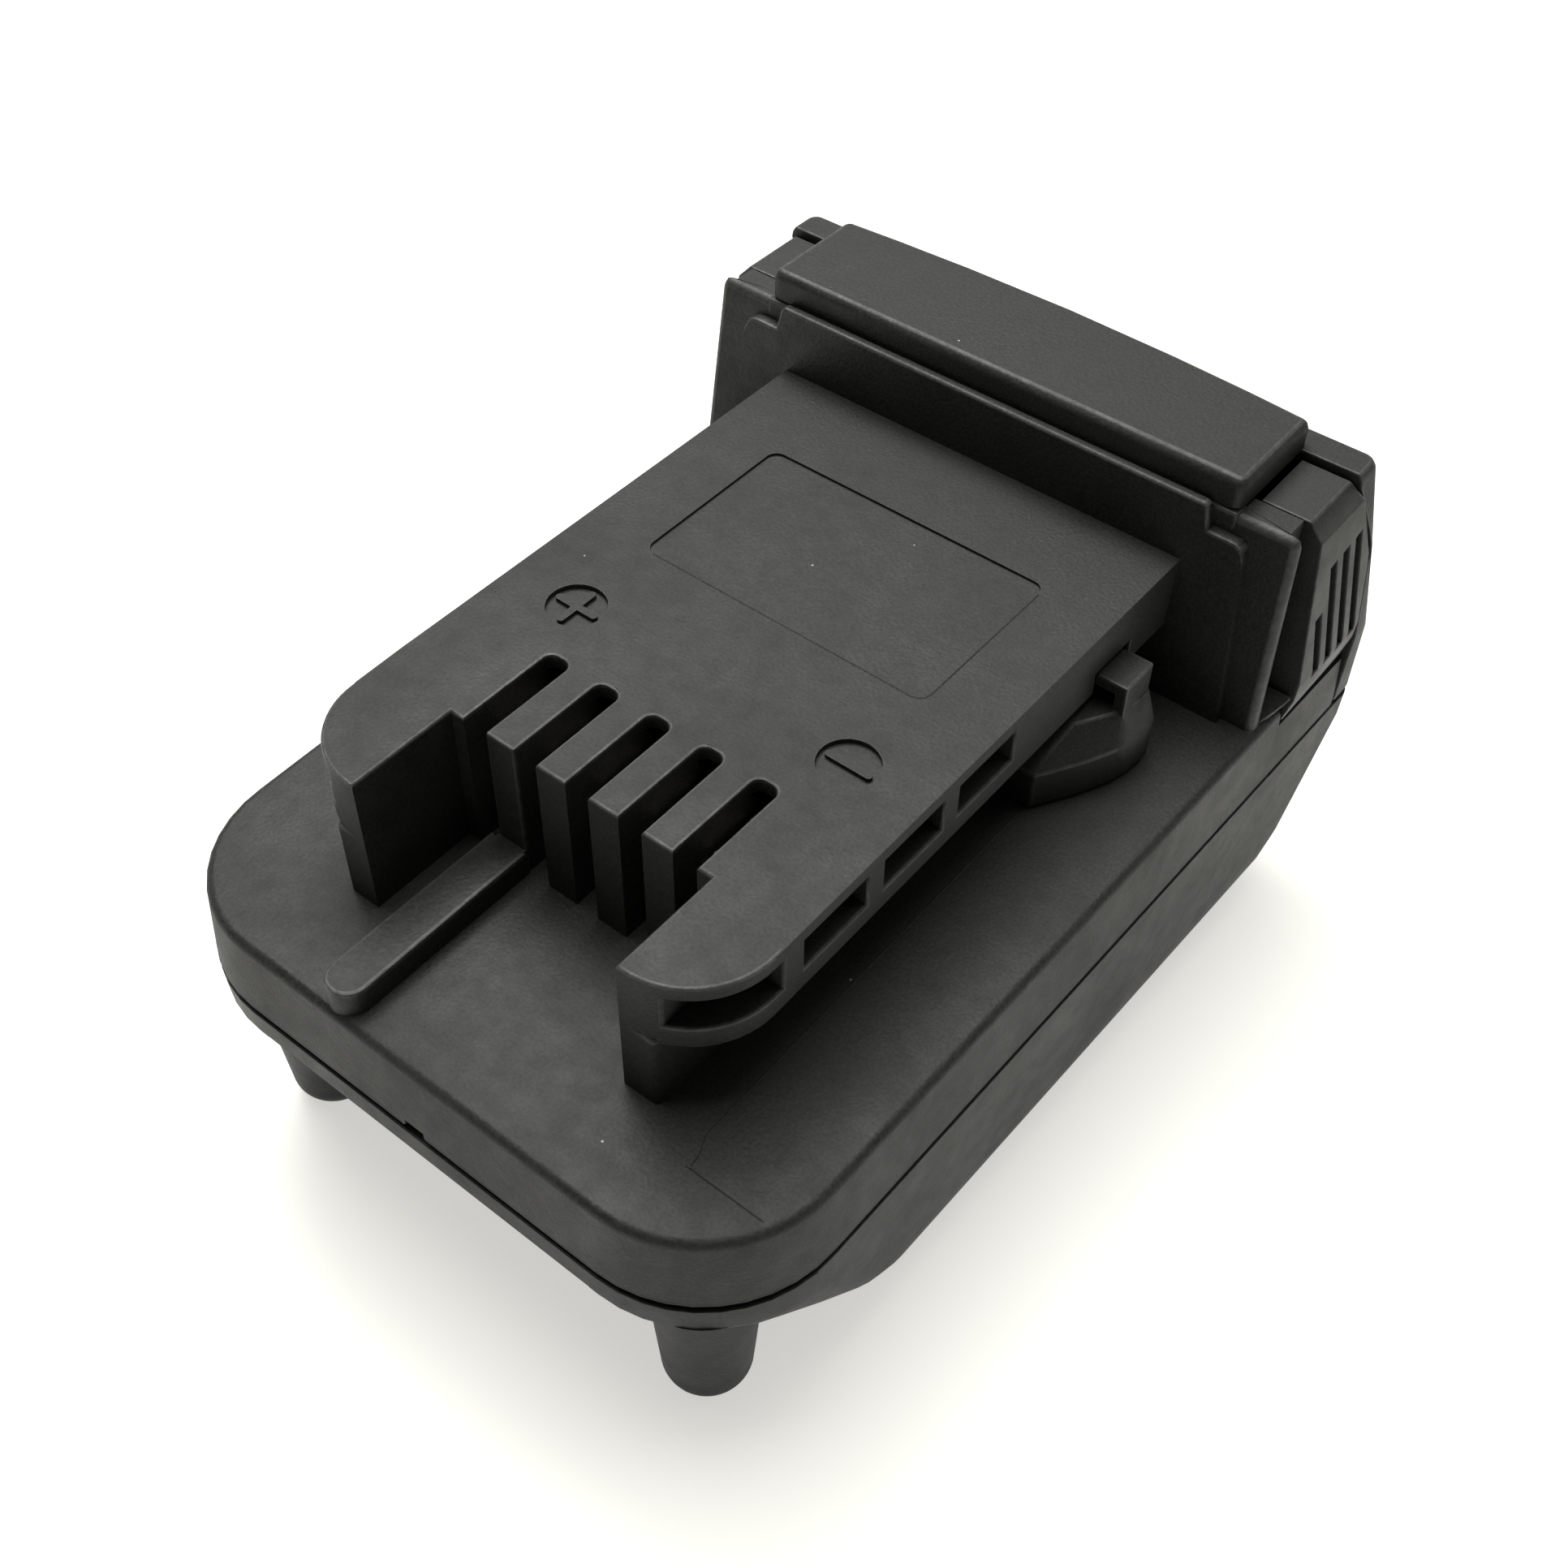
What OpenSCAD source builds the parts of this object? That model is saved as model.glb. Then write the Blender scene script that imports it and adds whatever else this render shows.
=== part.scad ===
// Slide-on battery adapter for a cordless tool.
// The top carries a tool rail with five contact slots, the underside takes a battery pack.
// Two side buttons draw two spring-loaded latch hooks into the rail.
// Origin: centre of the footprint on the floor. +X right, +Y towards the head, +Z up. Millimetres.

/* [Housing] */
// Width of the deck at its front corners
deck_w = 80; // [78:0.5:84]
// Overall length from the front wall to the tail
body_l = 122; // [121:0.5:126]
// Height of the deck above the floor
deck_z = 40; // [39:0.5:42]
// Height of the side wall between the deck and the parting line
band_h = 10; // [9.5:0.25:10.5]
// Radius of the front corners seen from above
corner_r = 15.5; // [14:0.5:17.5]
// How much each side widens between the front corners and the tail
side_flare = 2; // [1.2:0.1:2.8]
// How far the walls lean out between the deck and the parting line
wall_lean = 1.2; // [0.7:0.1:1.6]
// Wall thickness of the housings
wall_t = 2.4; // [2:0.1:2.6]
// Rounding along the bottom edges of the skirts
skirt_r = 11; // [9:0.5:12]

/* [Tool rail] */
// Width over the rail's flanges
rail_w = 56; // [55:0.25:57]
// Height of the rail's top above the deck
rail_h = 18.8; // [18.4:0.1:19.6]
// Thickness of the flanges
flange_t = 9.1; // [8.8:0.1:9.4]
// Width of the neck below the flanges
neck_w = 43.4; // [42.6:0.2:44]
// Radius of the two prongs' outer noses
prong_r = 10; // [9:0.5:10.5]
// Clear width between the prongs
fork_w = 34.6; // [34.2:0.1:35.2]
// Distance from one contact slot to the next
slot_pitch = 7; // [6.9:0.05:7.1]
// Width of a contact slot
slot_w = 3; // [2.8:0.1:3.2]
// Height of the coding rib on the deck
rib_h = 3.4; // [2.6:0.2:4]

/* [Marks] */
// Diameter of the polarity discs
disc_d = 6.8; // [6:0.2:7.4]
// Depth of the bare label recess
label_depth = 0.3; // [0.2:0.05:0.5]

/* [Latch] */
// Travel of a release button, set by a stop on the guide
latch_travel = 4; // [3.5:0.25:4.5]
// How far a latch hook stands out past the flange
hook_reach = 5.7; // [5.1:0.1:6]
// Running clearance around the moving latches
gap = 0.4; // [0.35:0.05:0.45]
// Turns of a latch spring
spring_turns = 5; // [4:1:6]

/* [Battery bay] */
// Clear width of the bay between the skirts
bay_w = 47; // [46:0.5:48]
// Height of the bay's ceiling above the floor
bay_h = 25.5; // [25:0.25:25.75]
// Diameter of the tapered front feet at mid height
foot_d = 11.4; // [10.8:0.2:12]

/* [Hidden] */
$fn = 48;
hull_fn = 32;
front_y = -body_l / 2 + 1;
half_w = deck_w / 2;
tail_y = body_l - 1;
split_z = deck_z - band_h;
deck_t = 2.6;
seam_h = 1.2;
seam_d = 1;
rim = 0.5;
deck_under = deck_z - deck_t;
rail_top = deck_z + rail_h;
flange_z = rail_top - flange_t;
rail_hw = rail_w / 2;
neck_hw = neck_w / 2;
tail_r = 3.2;
rail_front = 12;
slot_end = 38.3;
slot_r = 1.1;
skin_t = 2;
fork_y = 25.5;
head_y = body_l - 28.5;
head_top = deck_z + 26;
cap_z = head_top + 0.2;
cap_top = deck_z + 30;
cap_hw = 32.5;
ceil_z = bay_h + 2.5;
bay_hw = bay_w / 2;
bay_end = head_y + 7;
hook_front = head_y - 26.5;
hook_back = head_y - 9.5;
hook_x = rail_hw + hook_reach;
hook_top = flange_z - 1.1;
window_front = hook_front - 0.8;
window_back = hook_back + 0.8;
tab_front = hook_back - 5.6;
tab_top = flange_z + 2.6;
slide_z = deck_under - 4.6;
slide_top = deck_under - gap;
guide_hw = 5.5;
spring_rest = 9;
slide_in = guide_hw + spring_rest;
button_in = cap_hw + 0.5;
button_front = head_y + 6;
button_lean = 0.6;
recess_x = half_w - 1.6;
groove_lean = 9;
button_back = head_y + 20.9;
button_low = deck_z - 2.2;
button_top = cap_z - gap;
cover_y = button_back + gap;
guide_y = head_y + 10.5;
ear_x = 21;
stop_x = slide_in - latch_travel - gap;
spring_y = guide_y;
spring_z = (slide_z + slide_top) / 2;
board_z = ceil_z + 2.2;
board_t = 1.6;
board_top = board_z + board_t;
board_front = 9;
board_back = hook_front - 3;
carrier_front = slot_end + 0.6;
carrier_back = carrier_front + 15;
carrier_top = rail_top - 2.4;
carrier_hw = neck_hw - 3.3;
disc_x = rail_hw - 9.6;
block_front = head_y - 9;
block_back = head_y + 5;
blade_z = 10;
screw_front = 24;
screw_mid = hook_front - 9;
screw_x = half_w - 6.4;
cover_screw_x = 24;
cover_screw_y = cover_y - 2.7;
SLOTS = [-2, -1, 0, 1, 2];

// Colours of the pieces
black = [0.06, 0.06, 0.065];
soft_black = [0.09, 0.09, 0.095];
steel = [0.66, 0.67, 0.69];
brass = [0.78, 0.66, 0.38];
green = [0.1, 0.32, 0.2];

// Measures along Y count from the deck's front edge
module from_front() {
    translate([0, front_y, 0]) children();
}

// Plain block between two corners
module block(lo, hi) {
    translate(lo) cube(hi - lo);
}

// Flat outline drawn in Y and Z, drawn out along X
module along_x(x0, x1) {
    translate([x0, 0, 0]) rotate([90, 0, 90]) linear_extrude(x1 - x0) children();
}

// Flat outline drawn in X and Z, drawn out along Y
module along_y(y0, y1) {
    translate([0, y1, 0]) rotate([90, 0, 0]) linear_extrude(y1 - y0) children();
}

// Upright column
module post(x, y, z0, z1, r) {
    translate([x, y, z0]) cylinder(h = z1 - z0, r = r);
}

// Right piece, or its mirror on the left
module on_side(side) {
    mirror([side < 0 ? 1 : 0, 0, 0]) children();
}

// Rounded flat rectangle
module round_rect(x0, x1, y0, y1, r) {
    translate([x0 + r, y0]) square([x1 - x0 - 2 * r, y1 - y0]);
    translate([x0, y0 + r]) square([x1 - x0, y1 - y0 - 2 * r]);
    for (x = [x0 + r, x1 - r], y = [y0 + r, y1 - r]) translate([x, y]) circle(r);
}

// Thin slice of a body at one height: half widths, corner radii and ends
module slice(z, hw_front, hw_back, r_front, r_back, y0, y1) {
    for (s = [-1, 1]) {
        translate([s * (hw_front - r_front), y0 + r_front, z])
            cylinder(h = 0.02, r = r_front, $fn = hull_fn + 8);
        translate([s * (hw_back - r_back), y1 - r_back, z])
            cylinder(h = 0.02, r = r_back, $fn = hull_fn);
    }
}

// Deck and side wall with a rounded top edge
module deck_body() {
    hw = half_w + wall_lean;
    e = 1.1;
    hull() {
        slice(split_z, hw, hw + side_flare, corner_r + 1, 6, -wall_lean, tail_y);
        for (a = [0:22.5:90]) {
            in = e * (1 - cos(a)) - rim;
            z = deck_z - 0.02 - e * (1 - sin(a));
            slice(z, half_w - in, half_w + side_flare - in, corner_r - in, 6, in, tail_y);
        }
    }
}

// Room under the deck
module deck_room() {
    inner = half_w - wall_t;
    r = corner_r - wall_t;
    for (s = [-1, 1]) post(s * (inner - r), wall_t + r, split_z - 1, deck_under, r);
    block([-inner, wall_t + r, split_z - 1], [inner, body_l, deck_under]);
    block([-inner + r, wall_t, split_z - 1], [inner - r, wall_t + r + 1, deck_under]);
}

// Outline of the rail with two round noses
module rail_outline(hw, r) {
    translate([-hw, rail_front + r]) square([2 * hw, head_y + 2 - rail_front - r]);
    translate([-hw + r, rail_front]) square([2 * (hw - r), r + 1]);
    for (s = [-1, 1]) translate([s * (hw - r), rail_front + r]) circle(r);
}

// Fork between the prongs and the contact slots
module fork_outline() {
    translate([-fork_w / 2, 0]) square([fork_w, fork_y]);
    for (i = SLOTS) translate([i * slot_pitch, 0]) {
        translate([-slot_w / 2, fork_y - 1]) square([slot_w, slot_end - fork_y - slot_r + 1]);
        translate([slot_r - slot_w / 2, fork_y]) square([slot_w - 2 * slot_r, slot_end - fork_y]);
        for (s = [-1, 1]) translate([s * (slot_w / 2 - slot_r), slot_end - slot_r]) circle(slot_r);
    }
}

// Rail: neck, flanges and the four fins between the slots
module rail() {
    translate([0, 0, deck_under]) linear_extrude(flange_z - deck_under + 0.5) difference() {
        rail_outline(neck_hw, 0.8);
        fork_outline();
    }
    translate([0, 0, flange_z]) linear_extrude(flange_t) difference() {
        rail_outline(rail_hw, prong_r);
        fork_outline();
    }
}

// Pockets in the edge of one flange
module flange_pockets() {
    z0 = rail_top - 6.2;
    z1 = rail_top - 2;
    for (y = [26.4, 39, 51.6]) block([rail_hw - 4, y, z0], [rail_hw + 1, y + 9.8, z1]);
    nose_x = rail_hw - prong_r;
    nose_y = rail_front + prong_r;
    difference() {
        post(nose_x, nose_y, z0, z1, prong_r + 1);
        post(nose_x, nose_y, z0 - 1, z1 + 1, prong_r - 3.6);
        block([nose_x - 20, nose_y - 20, z0 - 1], [nose_x + 4, nose_y + 20, z1 + 1]);
        block([nose_x - 20, nose_y + 1.2, z0 - 1], [nose_x + 20, nose_y + 20, z1 + 1]);
    }
}

// Polarity disc with one or two raised bars
module disc_cut(side) {
    post(side * disc_x, 45.4, rail_top - 0.6, rail_top + 1, disc_d / 2);
}

module disc_bars(side) {
    turns = side < 0 ? [0, 90] : [0];
    bar = disc_d * 0.36;
    for (a = turns) translate([side * disc_x, 45.4, rail_top - 0.8]) rotate([0, 0, a]) {
        block([-bar, -0.45, 0], [bar, 0.45, 0.7]);
        for (s = [-1, 1]) translate([s * bar, 0, 0]) cylinder(h = 0.7, r = 0.45);
    }
}

// Head's front: frame, raised panel with a stepped top, two shoulders and the ramps beside them
module head_front() {
    lean = 2.2;
    intersection() {
        along_x(-half_w - 4, half_w + 4) polygon([[head_y - 0.3, deck_under], [head_y + 3.2, deck_under],
            [head_y + 3.2, head_top], [head_y + lean, head_top], [head_y - 0.3, deck_z]]);
        along_y(head_y - 4, head_y + 6) polygon([[-half_w - 1.4, deck_under], [half_w + 1.4, deck_under],
            [half_w, head_top - 1.1], [half_w - 0.3, head_top - 0.3], [half_w - 1.1, head_top],
            [1.1 - half_w, head_top], [0.3 - half_w, head_top - 0.3], [-half_w, head_top - 1.1]]);
    }
    intersection() {
        along_x(-half_w, half_w) polygon([[head_y - 1.4, deck_under], [head_y + 3, deck_under],
            [head_y + 2.2, head_top + 0.8], [head_y + lean - 1.4, head_top + 0.8], [head_y - 1.4, deck_z]]);
        along_y(head_y - 4, head_y + 6) polygon([[-half_w + 2.6, deck_under], [half_w - 2.6, deck_under],
            [half_w - 5.1, head_top - 3.7], [half_w - 5.5, head_top - 2.8], [half_w - 6.4, head_top - 2.35],
            [half_w - 7.2, head_top - 2.3], [half_w - 9.8, head_top - 2.3],
            [half_w - 10.4, head_top + 0.4], [half_w - 10.8, head_top + 0.8], [10.8 - half_w, head_top + 0.8],
            [10.4 - half_w, head_top + 0.4], [9.8 - half_w, head_top - 2.3], [7.2 - half_w, head_top - 2.3],
            [6.4 - half_w, head_top - 2.35], [5.5 - half_w, head_top - 2.8], [5.1 - half_w, head_top - 3.7]]);
    }
    block([-cap_hw, head_y + 2, head_top - 6], [cap_hw, head_y + 4.2, cap_z]);
    back = button_front - gap;
    for (s = [-1, 1]) on_side(s) {
        along_x(button_in - 0.6, recess_x) polygon([[head_y + 1, deck_under], [back, deck_under],
            [back + button_lean, head_top], [head_y + lean, head_top], [head_y + 1, deck_z]]);
        hull() {
            block([recess_x - 1, head_y, deck_under - 1], [half_w - 0.5, back, deck_under]);
            block([recess_x - 1, head_y, deck_z], [half_w + 0.7, head_y + 1, deck_z + 0.3]);
            block([recess_x - 1, back - 0.5, deck_z + 2], [half_w + 2.7, back, deck_z + 2.4]);
        }
    }
}

// Room of one button and the recess between it and the frame
module button_room() {
    back = button_front - gap;
    along_x(recess_x, half_w + 9) polygon([[head_y + 1.2, deck_z + 0.3], [head_y + 3.4, head_top + 1],
        [body_l, head_top + 1], [body_l, button_low - gap], [back, button_low - gap], [back, deck_z + 2.4]]);
}

module upper_housing() {
    color(black) from_front() difference() {
        union() {
            difference() {
                deck_body();
                deck_room();
                block([-60, cover_y - gap, split_z - 1], [60, body_l + 5, deck_z + 1]);
                block([-half_w + 1.6, head_y + 3, split_z - 1], [half_w - 1.6, body_l + 5, deck_z + 1]);
            }
            rail();
            head_front();
            block([-13.5, 2.5, deck_z - 1], [-8.3, fork_y + 1.2, deck_z + rib_h]);
            post(-10.9, 2.6, deck_z - 1, deck_z + rib_h, 2.6);
            for (s = [-1, 1], y = [screw_front, screw_mid])
                post(s * screw_x, y, split_z, deck_under + 1, 3.4);
        }
        block([-neck_hw + 2, slot_end, deck_under - 1], [neck_hw - 2, head_y - 2.2, rail_top - skin_t]);
        for (i = SLOTS) block([i * slot_pitch - slot_w / 2, fork_y, deck_z],
            [i * slot_pitch + slot_w / 2, slot_end + 1, rail_top - skin_t]);
        for (s = [-1, 1]) on_side(s) {
            button_room();
            flange_pockets();
            block([neck_hw - 3, window_front, deck_z - 0.1], [neck_hw + 1, window_back, flange_z + 0.01]);
            block([neck_hw - 3, tab_front - 0.5, flange_z - 0.1], [rail_hw + 1, window_back, tab_top + 0.4]);
            disc_cut(1);
        }
        block([-1.3, -3, split_z - 1], [1.3, 0.4, split_z + 0.9]);
        translate([0, 0, rail_top - label_depth]) linear_extrude(1)
            round_rect(-19, 19, head_y - 36.4, head_y - 13.3, 1.5);
        for (s = [-1, 1], y = [screw_front, screw_mid])
            post(s * screw_x, y, split_z - 1, deck_under - 0.9, 1.25);
    }
    color(black) from_front() for (s = [-1, 1]) disc_bars(s);
}

// Outside of the lower housing as one rounded hull
module lower_body() {
    hw = half_w + wall_lean;
    tail = tail_y;
    k = skirt_r;
    hull() {
        slice(split_z - seam_h, hw, hw + side_flare, corner_r + 1, tail_r, -wall_lean, tail);
        slice(split_z - 4.6, hw, hw + side_flare, corner_r + 1, tail_r, 0.1 - wall_lean, tail - 0.4);
        slice(split_z - 6.6, hw - 0.1, hw + side_flare - 0.2, corner_r, 5, 0.8, tail - 1);
        slice(split_z - 12.5, hw - 0.1, hw + side_flare - 0.4, 12, 7, 8.8, tail - 3);
        for (a = [0:15:90]) {
            in = k * (1 - cos(a)) + 0.3;
            y0 = 17 + 25 * a / 90;
            y1 = tail - 5.6 - 16 * pow(a / 90, 1.1);
            slice(k * (1 - sin(a)), hw - in, hw + side_flare - in, 9 - 5 * a / 90, 8, y0, y1);
        }
    }
}

// Lip that meets the upper housing at the bottom of the seam
module lower_lip() {
    hw = half_w + wall_lean - seam_d;
    r = corner_r + 1 - seam_d;
    hull() for (z = [split_z - seam_h - 1, split_z - 0.02])
        slice(z, hw, hw + side_flare, r, tail_r, seam_d - wall_lean, tail_y - seam_d);
}

// Tapered foot with a rounded tip
module foot(side) {
    r = foot_d / 2;
    tip = r - 0.6;
    translate([side * 29.5, 9.3, 0]) rotate_extrude() {
        polygon([[0, 0], [tip - 3.6, 0], [tip - 3.6, 3.6], [tip, 3.6], [r + 0.6, split_z - 8.5],
            [r + 1, split_z - 6.6], [r + 2, split_z - 5.2], [r + 3.2, split_z - 4.6], [0, split_z - 4.6]]);
        intersection() {
            translate([tip - 3.6, 3.6]) circle(3.6);
            square([20, 3.8]);
        }
    }
}

module lower_housing() {
    leg_in = bay_hw + wall_t;
    leg_out = half_w - wall_t - 1.5;
    color(black) from_front() difference() {
        union() {
            difference() {
                union() {
                    lower_body();
                    lower_lip();
                }
                block([-bay_hw, -5, -1], [bay_hw, bay_end, bay_h]);
                block([-half_w + 4.6, wall_t + 3.6, ceil_z], [half_w - 4.6, tail_y - 4.6, split_z + 1]);
                block([-half_w + corner_r, wall_t, ceil_z], [half_w - corner_r, wall_t + 6, split_z + 1]);
                block([-half_w + 8, bay_end + wall_t, 7], [half_w - 8, tail_y - 12, split_z + 1]);
                for (s = [-1, 1]) on_side(s) {
                    block([leg_in, 34, 9], [leg_out, head_y + 9, split_z + 1]);
                    block([leg_in, screw_mid + 6, wall_t], [leg_in + 4.5, head_y + 2, 10]);
                }
            }
            for (s = [-1, 1]) {
                foot(s);
                post(s * screw_x, screw_mid, 8, split_z, 4.4);
                post(s * screw_x, screw_front, ceil_z - 2, split_z, 4.4);
                post(s * cover_screw_x, cover_screw_y, 16, split_z, 4);
                post(s * 22, board_front + 5, bay_h + 0.5, board_z, 3);
                post(s * 22, board_back - 5, bay_h + 0.5, board_z, 3);
            }
        }
        for (s = [-1, 1]) {
            for (y = [screw_front, screw_mid]) {
                post(s * screw_x, y, -1, split_z + 1, 1.6);
                post(s * screw_x, y, -1, split_z - 8, 3.2);
            }
            post(s * cover_screw_x, cover_screw_y, -1, split_z + 1, 1.6);
            post(s * cover_screw_x, cover_screw_y, -1, split_z - 6, 3.2);
        }
        for (s = [-1, 1]) {
            post(s * 22, board_back - 5, ceil_z - 1, board_z + 1, 1);
            post(s * ear_x, head_y + 2.4, ceil_z - 2, ceil_z + 1, 1);
        }
        for (x = [-10, 10])
            block([x - 0.5, block_front + 6, bay_h - 1], [x + 0.5, block_front + 9, ceil_z + 1]);
        for (x = [-3.5, 3.5])
            block([x - 0.4, block_front + 6, bay_h - 1], [x + 0.4, block_front + 8, ceil_z + 1]);
    }
}

// Outside of the tail above the parting line
module tail_body(inset) {
    hw = half_w + wall_lean + side_flare - inset;
    r = tail_r - inset / 2;
    hull() {
        slice(split_z, hw, hw, 2, r, cover_y - 24, tail_y - inset);
        slice(deck_z + 1, hw + 0.2, hw + 0.2, 2, r, cover_y - 24, tail_y - 1.2 - inset);
        slice(deck_z + 14, hw - 1.2, hw - 1.2, 2, r, cover_y - 24, tail_y - 3.6 - inset);
        slice(head_top - 0.2 - inset, hw - 3, hw - 3, 2, 1.8, cover_y - 24, tail_y - 6.5 - inset);
        slice(head_top + 0.6 - inset, hw - 3.5, hw - 3.5, 1.5, 1.3, cover_y - 24, tail_y - 7 - inset);
    }
}

// Four corner columns of the cap
module cap_corners(inset, r, z0, z1) {
    y0 = head_y + 3.8;
    y1 = head_y + 16.6;
    for (x = [inset - cap_hw, cap_hw - inset], y = [y0, y1]) post(x, y, z0, z1, r, $fn = hull_fn);
}

// Bowed back of the cap
module cap_back(r, z0, z1) {
    for (x = [-24, -14, 0, 14, 24]) post(x, head_y + 16.9 - x * x / 640, z0, z1, r, $fn = hull_fn);
}

// Cap over the head with rounded edges
module cap_body() {
    hull() {
        cap_corners(1.3, 1.3, cap_z, cap_top - 1);
        cap_corners(1.3, 1.1, cap_top - 0.9, cap_top - 0.5);
        cap_corners(1.3, 0.5, cap_top - 0.4, cap_top);
        cap_back(2.5, cap_z, cap_top - 1.2);
        cap_back(1.7, cap_top - 0.5, cap_top);
    }
}

module rear_cover() {
    color(black) from_front() difference() {
        union() {
            intersection() {
                difference() {
                    tail_body(0);
                    tail_body(wall_t);
                }
                along_x(-60, 60) polygon([[cover_y, split_z - 1], [body_l + 5, split_z - 1],
                    [body_l + 5, head_top + 5], [head_y + 16.4, head_top + 5], [head_y + 16.4, head_top - 1],
                    [cover_y, head_top - 11]]);
            }
            cap_body();
            block([-28, head_y + 15.4, head_top - 3], [28, head_y + 18.6, cap_z + 0.6]);
            for (s = [-1, 1]) {
                post(s * cover_screw_x, cover_screw_y, split_z, deck_z + 4, 2.5);
                block([s * cover_screw_x - 2.5, cover_screw_y, split_z],
                    [s * cover_screw_x + 2.5, cover_y + 3, deck_z + 4]);
            }
        }
        block([-27, head_y + 5, cap_z - 1], [27, head_y + 13, cap_top - 2]);
        for (s = [-1, 1]) post(s * cover_screw_x, cover_screw_y, split_z - 1, deck_z + 2.4, 1.25);
    }
}

// Hook with a rounded ramp that leans in towards its top
module hook_body() {
    in = neck_hw - 4;
    hull() {
        translate([0, 0, deck_z + gap]) linear_extrude(5) polygon([[in, hook_front + 2],
            [neck_hw + 1, hook_front], [hook_x - 5.7, hook_front + 0.1], [hook_x - 2.6, hook_front + 5.3],
            [hook_x - 0.9, hook_front + 9], [hook_x - 0.2, hook_front + 11.6], [hook_x, hook_back - 3],
            [hook_x - 0.3, hook_back - 0.8], [hook_x - 1.2, hook_back], [in, hook_back]]);
        translate([0, 0, hook_top - 0.02]) linear_extrude(0.02) polygon([[in, hook_front + 4.2],
            [hook_x - 8.2, hook_front + 5.6], [hook_x - 5.1, hook_front + 7.2],
            [hook_x - 3.6, hook_front + 9.7], [hook_x - 2.4, hook_front + 11.8],
            [hook_x - 1.9, hook_back - 2], [hook_x - 2, hook_back], [in, hook_back]]);
    }
}

// Latch slide: plate under the deck, arm, hook with its tab, and a post for the button
module latch_slide(side) {
    y1 = guide_y + 5;
    color(soft_black) from_front() on_side(side) {
        block([slide_in, guide_y - 6, slide_z], [button_in, y1, slide_top]);
        block([slide_in, hook_front + 2, slide_z], [slide_in + 8, guide_y - 5, slide_top]);
        block([slide_in, hook_front + 2, slide_top - 1], [neck_hw - 2.8, hook_back, hook_top]);
        hook_body();
        block([rail_hw + 2.2, tab_front, hook_top - 1], [rail_hw + 3.7, hook_back, tab_top]);
        block([rail_hw - 0.4, tab_front, tab_top - 1.6], [rail_hw + 3.7, hook_back, tab_top]);
        block([button_in - 5, guide_y - 3.6, slide_top - 1], [button_in, guide_y + 3.6, deck_z + 20]);
    }
}

module latch_slide_left() { latch_slide(-1); }

module latch_slide_right() { latch_slide(1); }

// Grip groove in the button's sloped face, leaning a little to the front
module grip_groove(y, z1) {
    z0 = deck_z + 3;
    translate([0, y, z0]) rotate([groove_lean, 0, 0]) along_y(-0.75, 0.75) polygon([[half_w + 2.5, 0],
        [half_w + 9, 0], [half_w + 9, z1 - z0], [half_w + 2.5 - 0.118 * (z1 - z0), z1 - z0]]);
}

// Release button: chamfered top, sloped face with four grooves
module release_button(side) {
    top_back = head_y + 15.9;
    color(black) from_front() on_side(side) difference() {
        intersection() {
            along_x(button_in, half_w + 6) polygon([[button_front, button_low],
                [button_front + button_lean, button_top], [top_back, button_top],
                [button_back - 0.3, deck_z + 14], [button_back, deck_z + 12], [button_back, button_low]]);
            along_y(button_front - 2, button_back + 2) polygon([[button_in, button_low],
                [half_w + 2.2, button_low], [half_w + 3.1, deck_z + 1.5], [half_w + 3.2, deck_z + 4],
                [half_w + 1, deck_z + 23.7], [half_w - 0.9, button_top], [button_in, button_top]]);
        }
        grip_groove(head_y + 10.3, deck_z + 12.4);
        for (i = [1, 2, 3]) grip_groove(head_y + 10.3 + 3 * i, deck_z + 18.3 + 0.3 * i);
        block([button_in - 1, guide_y + 5.2, deck_z + 0.5], [half_w - 2, guide_y + 8, deck_z + 11]);
    }
}

module release_button_left() { release_button(-1); }

module release_button_right() { release_button(1); }

// Coil spring along X: one tube of six-sided rings
wire_r = 0.3;
coil_r = 1.6;
spring_l = slide_in - guide_hw;
ring_count = spring_turns * 8 + 1;
spring_pitch = (spring_l - 2 * wire_r) / spring_turns;

function ring(i) = [for (j = [0:5]) let (a = 45 * i, b = 60 * j, r = coil_r + wire_r * cos(b))
    [wire_r + spring_pitch * i / 8 + wire_r * sin(b), r * cos(a), r * sin(a)]];

COIL_POINTS = [for (i = [0:ring_count - 1], p = ring(i)) p];
COIL_SIDES = [for (i = [0:ring_count - 2], j = [0:5]) let (k = (j + 1) % 6)
    each [[6 * i + j, 6 * i + k, 6 * i + 6 + k], [6 * i + j, 6 * i + 6 + k, 6 * i + 6 + j]]];
COIL_ENDS = [for (j = [1:4]) each [[0, j + 1, j], [6 * (ring_count - 1), 6 * (ring_count - 1) + j,
    6 * (ring_count - 1) + j + 1]]];
coil_gap = min([for (i = [0:ring_count - 9]) spring_pitch - 2 * wire_r]);
echo(least_gap_between_spring_turns = coil_gap);

module latch_spring(side) {
    color(steel) from_front() on_side(side) translate([guide_hw, spring_y, spring_z])
        polyhedron(COIL_POINTS, concat(COIL_SIDES, COIL_ENDS));
}

module latch_spring_left() { latch_spring(-1); }

module latch_spring_right() { latch_spring(1); }

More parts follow.
